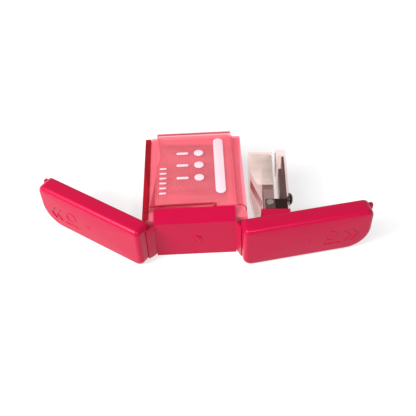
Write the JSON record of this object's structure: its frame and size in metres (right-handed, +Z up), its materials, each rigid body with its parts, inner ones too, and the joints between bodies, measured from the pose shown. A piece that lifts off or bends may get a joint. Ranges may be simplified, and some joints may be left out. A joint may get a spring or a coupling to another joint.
{
  "type": "stapler",
  "caption": "Fold-out pocket stapler: flat case with a sliding lid and two hinged wings; a clear mini stapler swings into the case with one wing.",
  "frame": {"origin": "centre of the case's flat underside", "axes": "+Z up, -Y towards the front band with the hinge lines, +X towards the wing that carries the stapler"},
  "size_m": [0.1774, 0.0789, 0.0272],
  "materials": {
    "pink_plastic": "opaque moulded plastic with a fine satin grain",
    "red_tint_plastic": "red tinted clear plastic",
    "deep_red_plastic": "deep red tinted plastic",
    "rose_clear_plastic": "rose tinted clear plastic",
    "clear_plastic": "clear polished plastic",
    "frosted_plastic": "frosted clear plastic",
    "dark_steel": "blackened steel",
    "bright_steel": "bright rolled steel",
    "staple_wire": "zinc plated wire"
  },
  "bodies": {
    "case": {"front_band": "pink_plastic", "case_tray": "red_tint_plastic", "left_wall": "deep_red_plastic", "case_top_frame": "red_tint_plastic", "refill_tray": "red_tint_plastic", "refill_staples": "staple_wire"},
    "lid": {"lid": "rose_clear_plastic"},
    "left_wing": {"left_wing_shell": "pink_plastic"},
    "right_wing": {"right_wing_shell": "pink_plastic", "stapler_bracket": "pink_plastic", "bracket_screws": "bright_steel", "base_plate": "dark_steel", "base_cover": "clear_plastic", "base_rail": "dark_steel", "base_rivet": "dark_steel", "anvil_plate": "bright_steel", "hinge_pin": "bright_steel"},
    "magazine": {"magazine_channel": "bright_steel", "magazine_core": "bright_steel", "staple_strip": "staple_wire", "pusher_rod": "bright_steel", "pusher_spring": "bright_steel"},
    "pusher": {"pusher": "pink_plastic"},
    "handle": {"handle_shell": "clear_plastic", "grip_panel": "frosted_plastic", "driver_blade": "bright_steel", "return_spring": "bright_steel"}
  },
  "joints": [
    {"name": "left_wing_hinge", "type": "hinge", "parent": "case", "child": "left_wing", "pos_m": [-0.022, -0.034, 0.012], "axis": [0, 0, 1], "range_deg": [-55.4, 44.6]},
    {"name": "right_wing_hinge", "type": "hinge", "parent": "case", "child": "right_wing", "pos_m": [0.022, -0.034, 0.012], "axis": [0, 0, 1], "range_deg": [-19, 81]},
    {"name": "lid_slide", "type": "slide", "parent": "case", "child": "lid", "axis": [0, 1, 0], "range_m": [0, 0.03]},
    {"name": "magazine_pivot", "type": "hinge", "parent": "right_wing", "child": "magazine", "pos_m": [0.0399, -0.01965, 0.0151], "axis": [0, 0, -1], "range_deg": [0, 2.2], "stiffness_Nm_per_rad": 0.2, "springref_deg": -2.86},
    {"name": "handle_pivot", "type": "hinge", "parent": "magazine", "child": "handle", "pos_m": [0.0399, -0.01965, 0.0151], "axis": [0, 0, -1], "range_deg": [0, 8], "stiffness_Nm_per_rad": 0.15, "springref_deg": -2.86},
    {"name": "pusher_slide", "type": "slide", "parent": "magazine", "child": "pusher", "axis": [-0.0576, -0.9983, 0], "range_m": [0, 0.009], "stiffness_N_per_m": 30, "springref_m": -0.01, "deforming": ["pusher_spring"]}
  ]
}
